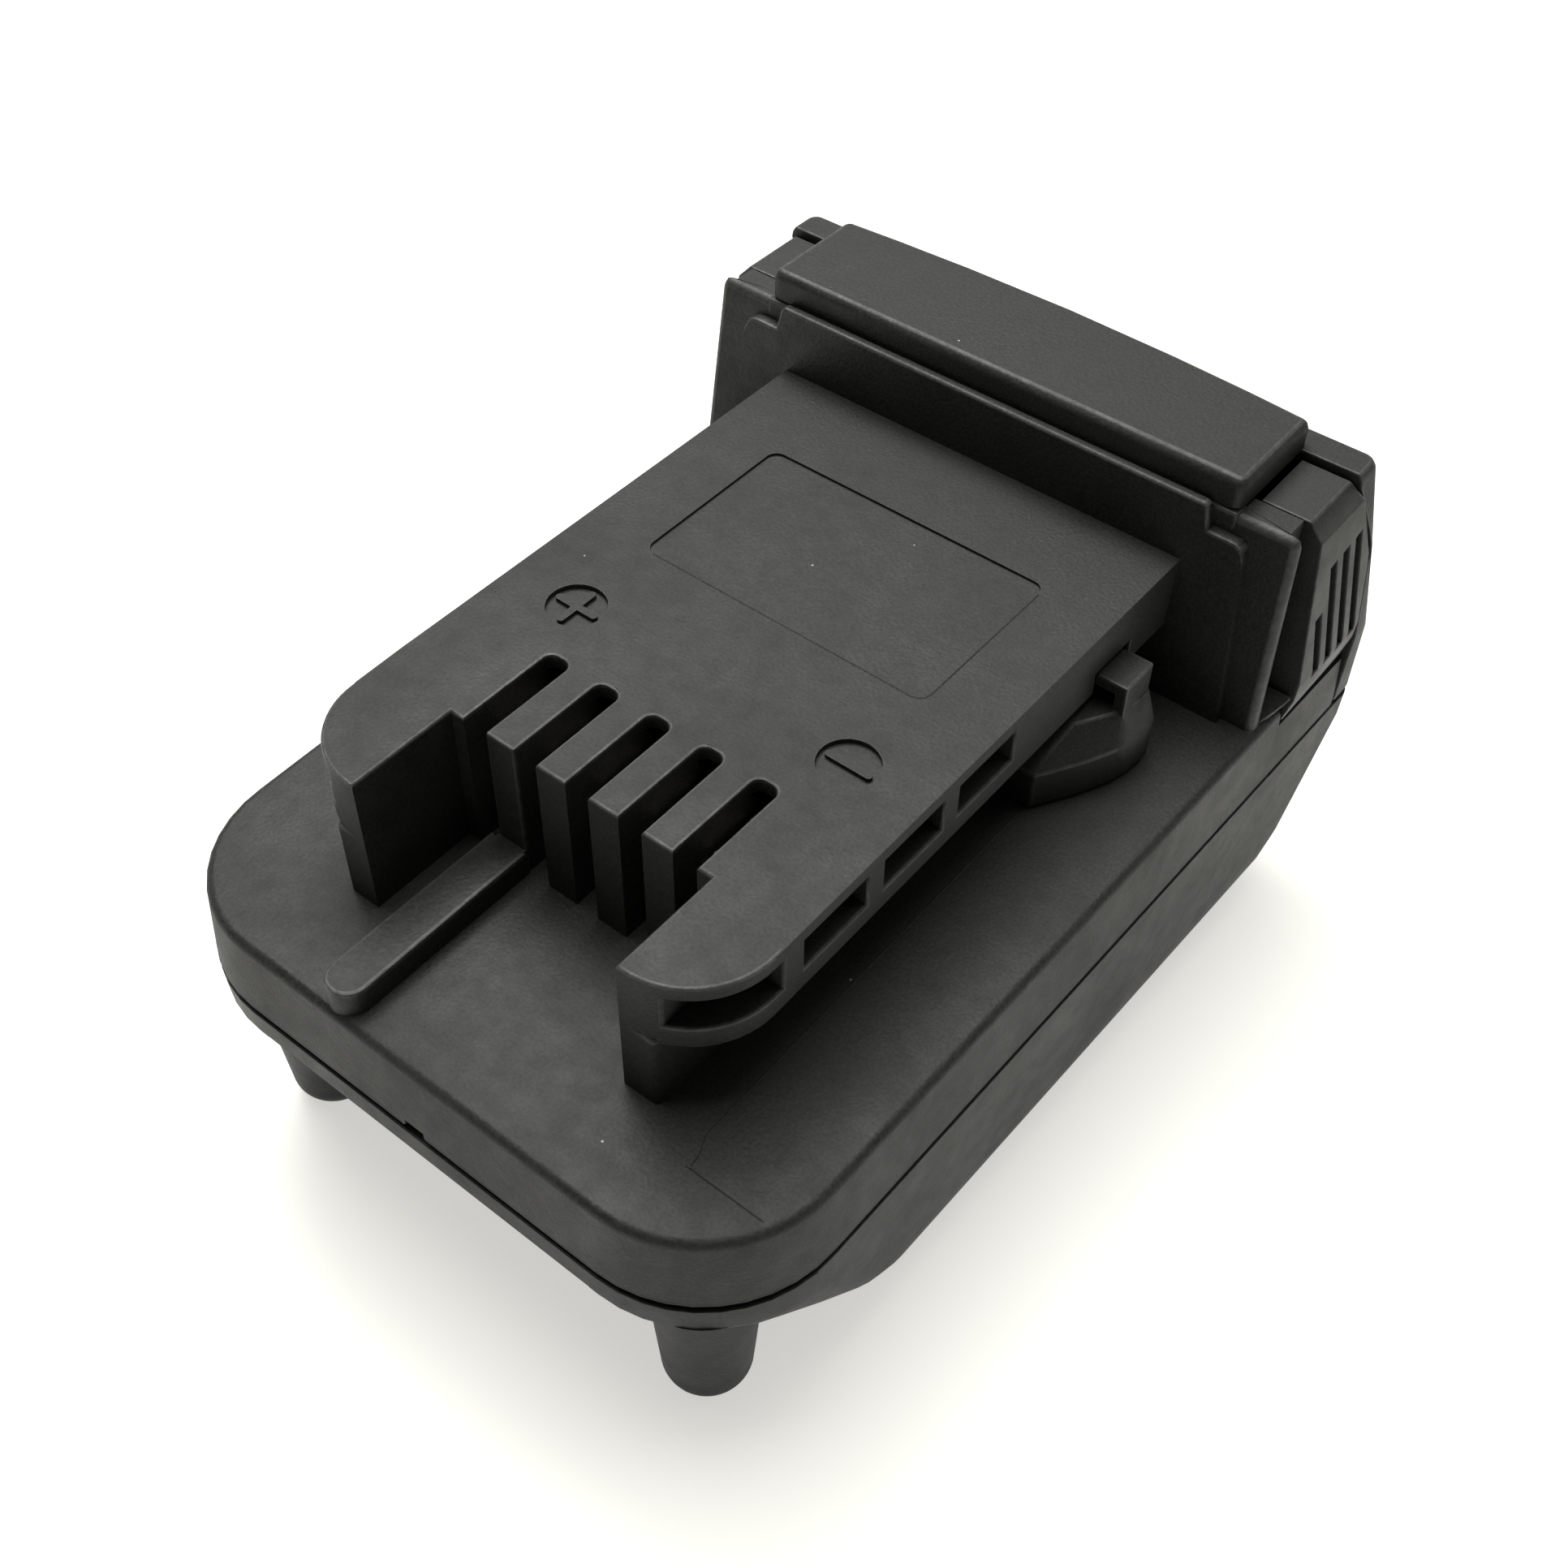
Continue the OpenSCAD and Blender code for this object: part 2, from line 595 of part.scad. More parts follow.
// Guide bar that carries both slides and backs the springs
module latch_guide() {
    color(soft_black) from_front() difference() {
        union() {
            block([-32, guide_y - 5, ceil_z], [32, guide_y + 3.6, slide_z - gap]);
            block([-guide_hw, guide_y - 5, slide_z - gap - 1], [guide_hw, guide_y + 3.6, slide_top - 0.5]);
            for (y = [guide_y - 5, guide_y + 2])
                block([-stop_x, y, slide_z - gap - 1], [stop_x, y + 1.6, slide_top - 0.5]);
            for (s = [-1, 1]) {
                post(s * ear_x, head_y + 2.4, ceil_z, ceil_z + 2, 3);
                block([s * ear_x - 3, head_y + 2.4, ceil_z], [s * ear_x + 3, guide_y - 4, ceil_z + 2]);
            }
        }
        for (s = [-1, 1]) post(s * ear_x, head_y + 2.4, ceil_z - 1, ceil_z + 3, 1.2);
    }
}

// Pan-head screw with a cross recess, pointing up from its head
module screw_up(x, y, z, len, r, head_r) {
    color(steel) from_front() translate([x, y, z]) difference() {
        union() {
            cylinder(h = 1.8, r = head_r);
            cylinder(h = len, r = r);
        }
        for (a = [0, 90]) rotate([0, 0, a]) translate([-head_r * 0.6, -0.35, -1])
            cube([head_r * 1.2, 0.7, 2]);
    }
}

// The same screw pointing down
module screw_down(x, y, z, len, r, head_r) {
    color(steel) from_front() translate([x, y, z]) difference() {
        union() {
            cylinder(h = 1.4, r = head_r);
            translate([0, 0, -len]) cylinder(h = len + 0.2, r = r);
        }
        for (a = [0, 90]) rotate([0, 0, a]) translate([-head_r * 0.6, -0.25, 0.7])
            cube([head_r * 1.2, 0.5, 2]);
    }
}

module guide_screw_left() { screw_down(-ear_x, head_y + 2.4, ceil_z + 2, 3.8, 1, 2); }

module guide_screw_right() { screw_down(ear_x, head_y + 2.4, ceil_z + 2, 3.8, 1, 2); }

// Insulating carrier of the tool contacts
module terminal_carrier() {
    color(soft_black) from_front() difference() {
        block([-carrier_hw, carrier_front, board_top], [carrier_hw, carrier_back, carrier_top]);
        for (i = SLOTS) {
            x = i * slot_pitch;
            block([x - 1.1, carrier_front - 1, deck_z + 4], [x + 1.1, carrier_front + 8, rail_top - 4]);
            block([x - 0.5, carrier_front + 5, board_top - 1], [x + 0.5, carrier_front + 6.5, deck_z + 5]);
        }
        block([2.4 - carrier_hw, carrier_back - 5, deck_z],
            [carrier_hw - 2.4, carrier_back + 1, carrier_top - 2]);
    }
}

// Fork contact with two leaves in its slot and a tail to the board
module tool_contact(i) {
    x = i * slot_pitch;
    color(brass) from_front() {
        block([x - 1.1, carrier_front, deck_z + 4], [x + 1.1, carrier_front + 8, rail_top - 4]);
        block([x - 0.5, carrier_front + 5, board_top], [x + 0.5, carrier_front + 6.5, deck_z + 4.5]);
        for (s = [-1, 1]) translate([x, 0, deck_z + 4]) linear_extrude(rail_h - 8.6) polygon([
            [s * 0.7, carrier_front + 1], [s * 1.1, carrier_front + 1], [s * 1.1, carrier_front - 2],
            [s * 0.6, carrier_front - 5.5], [s * 1.05, carrier_front - 8], [s * 0.7, carrier_front - 8],
            [s * 0.25, carrier_front - 5.5], [s * 0.7, carrier_front - 2]]);
    }
}

module tool_contact_1() { tool_contact(-2); }

module tool_contact_2() { tool_contact(-1); }

module tool_contact_3() { tool_contact(0); }

module tool_contact_4() { tool_contact(1); }

module tool_contact_5() { tool_contact(2); }

// Circuit board with its fixing holes
module circuit_board() {
    color(green) from_front() translate([0, 0, board_z]) linear_extrude(board_t) difference() {
        round_rect(-26, 26, board_front, board_back, 2);
        for (s = [-1, 1]) translate([s * 22, board_back - 5]) circle(1);
    }
}

module board_screw_left() { screw_down(-22, board_back - 5, board_top, 4.6, 1, 2); }

module board_screw_right() { screw_down(22, board_back - 5, board_top, 4.6, 1, 2); }

// Blade fuse on the board
module fuse() {
    color([0.75, 0.45, 0.1]) from_front() {
        block([-6, board_front + 4, board_top], [6, board_front + 8, board_top + 1.2]);
        block([-5, board_front + 4.5, board_top + 1], [5, board_front + 7.5, board_top + 4.4]);
    }
}

// Smoothing capacitor lying on the board
module capacitor() {
    color([0.16, 0.18, 0.3]) from_front() difference() {
        translate([-18, board_front + 12, board_top + 2.5]) rotate([0, 90, 0]) cylinder(h = 13, r = 2.5);
        translate([-16.6, board_front + 12, board_top + 2.5]) rotate([0, 90, 0]) difference() {
            cylinder(h = 0.8, r = 3);
            translate([0, 0, -1]) cylinder(h = 3, r = 2.2);
        }
    }
}

// Ring choke
module choke() {
    color([0.35, 0.3, 0.12]) from_front() translate([8, board_front + 13, board_top + 1.8]) rotate_extrude()
        translate([3.2, 0]) intersection() {
            circle(1.8);
            square([3.4, 4], center = true);
        }
}

// Power switch in a flat package with a metal tab
module power_switch(side) {
    color(soft_black) from_front() on_side(side) difference() {
        block([12, board_front + 19, board_top], [18, board_front + 25, board_top + 2.2]);
        translate([13.2, board_front + 20.2, board_top + 2]) cylinder(h = 1, r = 0.5);
    }
}

module power_switch_left() { power_switch(-1); }

module power_switch_right() { power_switch(1); }

// Terminal block for the battery pack, hanging from the bay's ceiling
module battery_block() {
    color(soft_black) from_front() difference() {
        union() {
            block([-15, block_front, blade_z - 3], [15, block_back, bay_h]);
            block([-18, block_front + 3, bay_h - 4], [18, block_back, bay_h]);
        }
        for (x = [-10, 10]) blade_shape(x, 0.5, 3);
        for (x = [-3.5, 3.5]) blade_shape(x, 0.4, 2);
        for (x = [-6.75, 0, 6.75])
            block([x - 1.2, block_front - 1, blade_z - 4], [x + 1.2, block_front + 5, bay_h - 6]);
    }
}

// Blade: level tongue in the bay and an upright tail through the ceiling
module blade_shape(x, t, tail) {
    block([x - t, block_front - 15, blade_z], [x + t, block_front + 6 + tail, blade_z + 8]);
    block([x - t, block_front + 6, blade_z + 7], [x + t, block_front + 6 + tail, ceil_z + 1.4]);
}

module blade(x, t, tail) {
    color(brass) from_front() difference() {
        blade_shape(x, t, tail);
        for (s = [-1, 1]) translate([x, block_front - 15, blade_z + 4]) rotate([0, 0, s * 25])
            block([s > 0 ? -4 : 0.15, -3, -6], [s > 0 ? -0.15 : 4, 1.2, 6]);
    }
}

module battery_blade_positive() { blade(-10, 0.5, 3); }

module battery_blade_negative() { blade(10, 0.5, 3); }

module battery_blade_signal() { blade(-3.5, 0.4, 2); }

module battery_blade_sense() { blade(3.5, 0.4, 2); }

// Flat bar from a blade's tail to the board
module busbar(side) {
    color(brass) from_front() on_side(side) difference() {
        block([7.5, board_back - 6, ceil_z + 1.4], [12.5, block_front + 11, board_z]);
        translate([10, board_back - 3, ceil_z]) cylinder(h = 4, r = 1);
    }
}

module busbar_positive() { busbar(-1); }

module busbar_negative() { busbar(1); }

// Runner in the bay for the pack's groove
module battery_rail(side) {
    color(soft_black) from_front() on_side(side) {
        block([bay_hw - 1.4, 46, 6], [bay_hw, block_front + 4, 16]);
        block([bay_hw - 3.6, 46, 6], [bay_hw - 1, block_front + 4, 9]);
    }
}

module battery_rail_left() { battery_rail(-1); }

module battery_rail_right() { battery_rail(1); }

// Steel plate that the pack's own latch catches
module catch_plate() {
    color(steel) from_front() difference() {
        block([-11, 22, bay_h - 1.5], [11, 36, bay_h]);
        block([-6, 26, bay_h - 3], [6, 31, bay_h - 0.4]);
        for (s = [-1, 1]) post(s * 8.5, 33.5, bay_h - 3, bay_h - 0.8, 1);
    }
}

module housing_screw(side, y) {
    screw_up(side * screw_x, y, split_z - 9.8, band_h + 6, 1.25, 2.8);
}

module housing_screw_front_left() { housing_screw(-1, screw_front); }

module housing_screw_front_right() { housing_screw(1, screw_front); }

module housing_screw_mid_left() { housing_screw(-1, screw_mid); }

module housing_screw_mid_right() { housing_screw(1, screw_mid); }

module cover_screw(side) {
    screw_up(side * cover_screw_x, cover_screw_y, split_z - 7.8, band_h + 8.5, 1.25, 2.8);
}

module cover_screw_left() { cover_screw(-1); }

module cover_screw_right() { cover_screw(1); }

upper_housing();
lower_housing();
rear_cover();
latch_slide_left();
latch_slide_right();
release_button_left();
release_button_right();
latch_spring_left();
latch_spring_right();
latch_guide();
guide_screw_left();
guide_screw_right();
terminal_carrier();
tool_contact_1();
tool_contact_2();
tool_contact_3();
tool_contact_4();
tool_contact_5();
circuit_board();
board_screw_left();
board_screw_right();
fuse();
capacitor();
choke();
power_switch_left();
power_switch_right();
battery_block();
battery_blade_positive();
battery_blade_negative();
battery_blade_signal();
battery_blade_sense();
busbar_positive();
busbar_negative();
battery_rail_left();
battery_rail_right();
catch_plate();
housing_screw_front_left();
housing_screw_front_right();
housing_screw_mid_left();
housing_screw_mid_right();
cover_screw_left();
cover_screw_right();
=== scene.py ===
"""Slide-on battery adapter for a cordless tool: its dressed model and a plain studio."""

import logging
import math
from dataclasses import dataclass, field
from enum import Enum

import bmesh
import bpy
from mathutils import Matrix, Vector


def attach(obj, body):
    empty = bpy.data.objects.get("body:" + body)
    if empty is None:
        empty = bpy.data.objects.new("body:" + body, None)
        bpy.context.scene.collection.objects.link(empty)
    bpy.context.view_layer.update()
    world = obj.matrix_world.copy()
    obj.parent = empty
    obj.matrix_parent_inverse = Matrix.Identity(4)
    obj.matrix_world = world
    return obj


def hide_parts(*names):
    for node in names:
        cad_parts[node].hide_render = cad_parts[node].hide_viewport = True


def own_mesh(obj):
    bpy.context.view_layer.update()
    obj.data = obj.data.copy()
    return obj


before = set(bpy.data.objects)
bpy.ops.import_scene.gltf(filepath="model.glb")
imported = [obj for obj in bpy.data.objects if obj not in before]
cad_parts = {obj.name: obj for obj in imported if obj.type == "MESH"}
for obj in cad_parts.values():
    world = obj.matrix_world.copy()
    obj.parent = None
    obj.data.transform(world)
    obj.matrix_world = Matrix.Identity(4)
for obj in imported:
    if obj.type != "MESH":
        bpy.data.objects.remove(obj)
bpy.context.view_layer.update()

LOG = logging.getLogger("battery_adapter")
MM = 0.001
FAR = 999.0
WELD = 0.000002
FLAT = math.radians(0.3)
CREASE = math.radians(36.0)
WEAR_AND_HIGHLIGHT = "rubbed"
Triple = tuple[float, float, float]
UP: Triple = (0.0, 0.0, 1.0)


class Body(Enum):
    """Rigid bodies of the adapter."""

    HOUSING = "housing"
    LATCH_LEFT = "latch_left"
    LATCH_RIGHT = "latch_right"


class Side(Enum):
    """Left and right of the rail, as signs along X."""

    LEFT = -1
    RIGHT = 1

    @property
    def word(self) -> str:
        """Name of the side as the nodes spell it."""
        return self.name.lower()

    @property
    def body(self) -> Body:
        """Moving body on this side."""
        return Body.LATCH_LEFT if self is Side.LEFT else Body.LATCH_RIGHT


class Graph:
    """Node graph of one material, grown node by node."""

    def __init__(self, name: str) -> None:
        """Start a graph that holds a principled shader on its output.

        Args:
            name: Name of the new material.
        """
        self.material = bpy.data.materials.new(name)
        self.material.use_nodes = True
        self.tree = self.material.node_tree
        self.tree.nodes.clear()
        self.shader = self.add("BsdfPrincipled")
        self.add("OutputMaterial", {"Surface": self.shader.outputs["BSDF"]})
        self.place = self.add("TexCoord").outputs["Object"]

    def add(self, kind: str, sockets: dict | None = None, **settings: object) -> bpy.types.Node:
        """Add one node to the graph.

        Args:
            kind: Node type without its ShaderNode prefix.
            sockets: Input name or number, to a constant or an output socket.
            **settings: Attributes that are set on the node.

        Returns:
            The new node.
        """
        node = self.tree.nodes.new("ShaderNode" + kind)
        for key, value in settings.items():
            setattr(node, key, value)
        for key, value in (sockets or {}).items():
            self.feed(node.inputs[key], value)
        return node

    def feed(self, socket: bpy.types.NodeSocket, value: object) -> None:
        """Link an output to a socket, or set the socket's constant.

        Args:
            socket: Input to fill.
            value: Output socket, number, or colour.
        """
        if isinstance(value, bpy.types.NodeSocket):
            self.tree.links.new(value, socket)
        elif isinstance(value, tuple) and len(value) == 3 and socket.type == "RGBA":
            socket.default_value = (*value, 1.0)
        else:
            socket.default_value = value

    def set(self, **sockets: object) -> None:
        """Fill the shader's sockets, named with underscores for spaces."""
        for key, value in sockets.items():
            self.feed(self.shader.inputs[key.replace("_", " ")], value)

    def noise(self, scale: float, detail: float = 2.0, rough: float = 0.5,
              place: bpy.types.NodeSocket | None = None) -> bpy.types.NodeSocket:
        """Add a noise pattern.

        Args:
            scale: Blotches per metre.
            detail: Octaves.
            rough: How strong the finer octaves are.
            place: Coordinates, or the object's own.

        Returns:
            The pattern's value.
        """
        sockets = {"Vector": place or self.place, "Scale": scale, "Detail": detail, "Roughness": rough}
        return self.add("TexNoise", sockets).outputs[0]

    def cells(self, scale: float) -> bpy.types.Node:
        """Add a cell pattern with that many cells per metre."""
        return self.add("TexVoronoi", {"Vector": self.place, "Scale": scale})

    def ramp(self, value: bpy.types.NodeSocket, low: float, high: float,
             start: float = 0.0, end: float = 1.0) -> bpy.types.NodeSocket:
        """Stretch a value from one range to another, clamped.

        Args:
            value: Incoming value.
            low: Where the range starts.
            high: Where the range ends.
            start: Result at the range's start.
            end: Result at the range's end.

        Returns:
            The stretched value.
        """
        sockets = {"Value": value, "From Min": low, "From Max": high, "To Min": start, "To Max": end}
        return self.add("MapRange", sockets, clamp=True).outputs[0]

    def math(self, operation: str, a: object, b: object) -> bpy.types.NodeSocket:
        """Combine two values with one arithmetic operation."""
        return self.add("Math", {0: a, 1: b}, operation=operation).outputs[0]

    def blend(self, share: object, a: object, b: object) -> bpy.types.NodeSocket:
        """Mix two colours.

        Args:
            share: How much of the second colour.
            a: First colour.
            b: Second colour.

        Returns:
            The mixed colour.
        """
        return self.add("Mix", {0: share, 6: a, 7: b}, data_type="RGBA").outputs[2]

    def bump(self, height: bpy.types.NodeSocket, strength: float, depth: float) -> bpy.types.NodeSocket:
        """Turn a height into a bumped normal.

        Args:
            height: Height pattern.
            strength: Share of the bump that shows.
            depth: Height in metres at one.

        Returns:
            The bumped normal.
        """
        return self.add("Bump", {"Height": height, "Strength": strength, "Distance": depth}).outputs[0]

    def rubbed(self) -> bpy.types.NodeSocket:
        """Read the bevel-face mask for rubbed wear and painted edge highlight, from zero to one."""
        return self.add("Attribute", attribute_name=WEAR_AND_HIGHLIGHT).outputs["Fac"]


@dataclass(frozen=True)
class MouldedPlastic:
    """Injection-moulded plastic with a grain from its tool."""

    name: str
    colour: Triple = (0.0080, 0.0084, 0.0078)
    bloom: Triple = (0.034, 0.035, 0.032)
    # Colour of bevelled edges: lighter for wear, and partly a painted highlight along the edges.
    edge: Triple = (0.052, 0.053, 0.052)
    roughness: float = 0.58
    index: float = 1.38
    grain: float = 2500.0
    depth: float = 0.00007
    strength: float = 0.6
    dust: float = 0.0
    dust_colour: Triple = (0.36, 0.36, 0.34)
    speck_scale: float = 300.0
    cloud_scale: float = 55.0
    streak_scale: float = 420.0
    wear_scale: float = 900.0
    pit_rate: float = 0.8
    pit_share: float = 0.45
    worn_gloss: float = 0.12

    def material(self) -> bpy.types.Material:
        """Build the plastic's material.

        Returns:
            Material with grain, cloudy gloss, edges lightened partly by wear and partly as painted
            highlight, and some dust.
        """
        g = Graph(self.name)
        fine = g.noise(self.grain, 3.0, 0.62)
        pits = g.cells(self.grain * self.pit_rate).outputs["Distance"]
        cloud = g.noise(self.cloud_scale, 4.0, 0.6)
        streak = g.noise(self.streak_scale)
        height = g.math("ADD", fine, g.math("MULTIPLY", pits, self.pit_share))
        tone = g.blend(g.ramp(cloud, 0.35, 0.75, 0.0, 0.4), self.colour, self.bloom)
        tone = g.blend(g.ramp(fine, 0.4, 0.95), tone, self.bloom)
        rubbed = g.rubbed()
        rubbed = g.math("MULTIPLY", rubbed, g.ramp(g.noise(self.wear_scale, 3.0), 0.3, 0.7, 0.35, 1.0))
        # Painted highlight: bevelled edges lean towards the lighter edge colour, partly wear and partly
        # painted highlight.
        tone = g.blend(rubbed, tone, self.edge)
        if self.dust > 0.0:
            tone = g.blend(self.specks(g), tone, self.dust_colour)
        gloss = g.ramp(cloud, 0.3, 0.75, self.roughness - 0.08, self.roughness + 0.1)
        gloss = g.math("ADD", gloss, g.ramp(streak, 0.3, 0.8, -0.03, 0.05))
        gloss = g.math("SUBTRACT", gloss, g.math("MULTIPLY", rubbed, self.worn_gloss))
        g.set(Base_Color=tone, Roughness=gloss, IOR=self.index,
              Normal=g.bump(height, self.strength, self.depth))
        return g.material

    def specks(self, g: Graph) -> bpy.types.NodeSocket:
        """Scatter dust on faces that look up.

        Args:
            g: Graph of the plastic.

        Returns:
            One on a speck, else zero.
        """
        grain = g.cells(self.speck_scale)
        dot = g.ramp(grain.outputs["Distance"], 0.028, 0.046, 1.0, 0.0)
        pick = g.add("SeparateColor", {0: grain.outputs["Color"]}).outputs[0]
        pick = g.ramp(pick, self.dust, self.dust + 0.01, 1.0, 0.0)
        up = g.add("SeparateXYZ", {0: g.add("NewGeometry").outputs["Normal"]}).outputs[2]
        up = g.ramp(up, 0.7, 0.9)
        return g.math("MULTIPLY", g.math("MULTIPLY", dot, pick), up)


@dataclass(frozen=True)
class Metal:
    """Stamped, drawn or plated metal."""

    name: str
    colour: Triple
    stain: Triple
    roughness: float = 0.3
    brushed: Triple = (300.0, 300.0, 6000.0)
    worn: Triple = (0.9, 0.89, 0.86)
    stain_scale: float = 420.0

    def material(self) -> bpy.types.Material:
        """Build the metal's material.

        Returns:
            Material with drawing lines, stains and rubbed edges.
        """
        g = Graph(self.name)
        lines = g.add("Mapping", {"Vector": g.place, "Scale": self.brushed}, vector_type="POINT").outputs[0]
        draw = g.noise(1.0, 3.0, 0.6, lines)
        cloud = g.noise(self.stain_scale, 4.0, 0.6)
        tone = g.blend(g.ramp(cloud, 0.45, 0.75, 0.0, 0.8), self.colour, self.stain)
        rubbed = g.rubbed()
        tone = g.blend(g.math("MULTIPLY", rubbed, 0.5), tone, self.worn)
        gloss = g.ramp(draw, 0.3, 0.7, self.roughness - 0.07, self.roughness + 0.1)
        g.set(Base_Color=tone, Metallic=1.0, Roughness=gloss, Normal=g.bump(draw, 0.2, 0.00001))
        return g.material


@dataclass(frozen=True)
class SolderMask:
    """Lacquered circuit board with copper runs under the lacquer."""

    name: str
    lacquer: Triple = (0.018, 0.11, 0.05)
    run: Triple = (0.05, 0.2, 0.09)
    pad: Triple = (0.62, 0.6, 0.52)
    run_scale: float = 120.0
    via_scale: float = 420.0

    def material(self) -> bpy.types.Material:
        """Build the board's material.

        Returns:
            Material with runs, small vias and a lacquer gloss.
        """
        g = Graph(self.name)
        wire = g.add("TexBrick", {
            "Vector": g.place, "Scale": self.run_scale, "Mortar Size": 0.04, "Color1": (0.0, 0.0, 0.0),
            "Color2": (0.15, 0.15, 0.15), "Mortar": (1.0, 1.0, 1.0)}).outputs["Color"]
        via = g.ramp(g.cells(self.via_scale).outputs["Distance"], 0.12, 0.16, 1.0, 0.0)
        tone = g.blend(wire, self.lacquer, self.run)
        tone = g.blend(via, tone, self.pad)
        gloss = g.ramp(g.noise(700.0, 3.0), 0.3, 0.7, 0.22, 0.36)
        g.set(Base_Color=tone, Roughness=gloss, Normal=g.bump(wire, 0.3, 0.00004))
        return g.material


@dataclass(frozen=True)
class Component:
    """Coated, sleeved or clear-moulded electronic component."""

    name: str
    colour: Triple
    shade: Triple
    roughness: float = 0.35
    transmission: float = 0.0
    worn: Triple = (0.5, 0.5, 0.48)
    cloud_scale: float = 900.0
    peel_scale: float = 2600.0

    def material(self) -> bpy.types.Material:
        """Build the component's material.

        Returns:
            Material with a mottled coat and a light orange-peel surface.
        """
        g = Graph(self.name)
        cloud = g.noise(self.cloud_scale, 4.0, 0.6)
        tone = g.blend(g.ramp(cloud, 0.35, 0.7), self.colour, self.shade)
        rubbed = g.rubbed()
        tone = g.blend(g.math("MULTIPLY", rubbed, 0.3), tone, self.worn)
        gloss = g.ramp(cloud, 0.3, 0.7, self.roughness - 0.06, self.roughness + 0.08)
        g.set(Base_Color=tone, Roughness=gloss, Transmission_Weight=self.transmission,
              Normal=g.bump(g.noise(self.peel_scale), 0.2, 0.00002))
        return g.material


class Finish(Enum):
    """Finishes of the adapter, each with its slot name."""

    HOUSING = ("housing_black", MouldedPlastic("grained_housing_black", dust=0.10))
    LATCH = ("latch_black",
             MouldedPlastic("smooth_latch_black", roughness=0.52, grain=3200.0, strength=0.35))
    INNER = ("inner_plastic",
             MouldedPlastic("plain_inner_plastic", (0.016, 0.016, 0.0165), (0.028, 0.028, 0.028)))
    SPRING = ("spring_steel", Metal("drawn_spring_steel", (0.56, 0.57, 0.6), (0.4, 0.39, 0.37), 0.26))
    SCREW = ("screw_steel", Metal("plated_screw_steel", (0.5, 0.51, 0.54), (0.36, 0.35, 0.3), 0.34))
    CONTACT = ("contact_brass", Metal("tinned_contact_brass", (0.72, 0.64, 0.47), (0.6, 0.58, 0.53), 0.28))
    BOARD = ("board_green", SolderMask("lacquered_board_green"))
    FUSE = ("fuse_amber",
            Component("clear_fuse_amber", (0.75, 0.3, 0.03), (0.6, 0.2, 0.02), 0.2, 0.4))
    SLEEVE = ("capacitor_sleeve",
              Component("shrunk_sleeve_blue", (0.015, 0.02, 0.08), (0.03, 0.035, 0.1), 0.3))
    CORE = ("choke_core", Component("coated_core_olive", (0.12, 0.1, 0.02), (0.2, 0.17, 0.05), 0.45))
    PACKAGE = ("package_black",
               Component("moulded_package_black", (0.012, 0.012, 0.013), (0.025, 0.025, 0.026)))

    @property
    def slot(self) -> str:
        """Slot name of the finish."""
        return self.value[0]

    def material(self) -> bpy.types.Material:
        """Material of the finish, made on first use."""
        known = bpy.data.materials.get(self.value[1].name)
        return known or self.value[1].material()


@dataclass(frozen=True)
class Zone:
    """Box in millimetres that edges lie in."""

    low: Triple
    high: Triple

    def holds(self, edge: bmesh.types.BMEdge) -> bool:
        """Tell whether both ends of an edge lie in the box.

        Args:
            edge: Edge in metres.

        Returns:
            True where it does.
        """
        return all(lo * MM <= c <= hi * MM
                   for v in edge.verts for lo, c, hi in zip(self.low, v.co, self.high))


EVERYWHERE = Zone((-FAR, -FAR, -FAR), (FAR, FAR, FAR))


@dataclass(frozen=True)
class Softening:
    """Rounding of the outer edges in some zones."""

    width: float
    zones: tuple[Zone, ...] = (EVERYWHERE,)
    keep_out: tuple[Zone, ...] = ()
    segments: int = 2
    sharp: float = 38.0

    def edges(self, bm: bmesh.types.BMesh) -> list[bmesh.types.BMEdge]:
        """Pick the edges that are rounded.

        Args:
            bm: Mesh of the piece.

        Returns:
            The edges.
        """
        found = []
        for edge in bm.edges:
            if not edge.is_manifold or edge.calc_face_angle(0.0) < math.radians(self.sharp):
                continue
            if not edge.is_convex or not any(zone.holds(edge) for zone in self.zones):
                continue
            if not any(zone.holds(edge) for zone in self.keep_out):
                found.append(edge)
        return found

    def apply(self, bm: bmesh.types.BMesh) -> None:
        """Round the edges and mark the new faces in the mask for rubbed wear and painted edge highlight.

        Args:
            bm: Mesh of the piece.
        """
        layers = bm.faces.layers.float
        rubbed = layers.get(WEAR_AND_HIGHLIGHT) or layers.new(WEAR_AND_HIGHLIGHT)
        made = bmesh.ops.bevel(bm, geom=self.edges(bm), offset=self.width * MM, offset_type="OFFSET",
                               segments=self.segments, profile=0.5, affect="EDGES", clamp_overlap=False,
                               loop_slide=True, material=-1)
        for face in made["faces"]:
            face[rubbed] = 1.0


@dataclass
class Moulding:
    """One moulded, cut or stamped piece, drawn from its node with its edges softened."""

    node: str
    finish: Finish
    body: Body = Body.HOUSING
    softenings: tuple[Softening, ...] = ()

    def build(self) -> bpy.types.Object:
        """Make the piece in place of its node.

        Returns:
            The new object.
        """
        bm = bmesh.new()
        bm.from_mesh(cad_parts[self.node].data)
        bmesh.ops.remove_doubles(bm, verts=bm.verts, dist=WELD)
        bmesh.ops.dissolve_degenerate(bm, edges=bm.edges, dist=WELD)
        bmesh.ops.dissolve_limit(bm, angle_limit=FLAT, verts=bm.verts, edges=bm.edges)
        for softening in self.softenings:
            softening.apply(bm)
        return finished(bm, self.node + "_piece", self.finish, self.body, self.node)


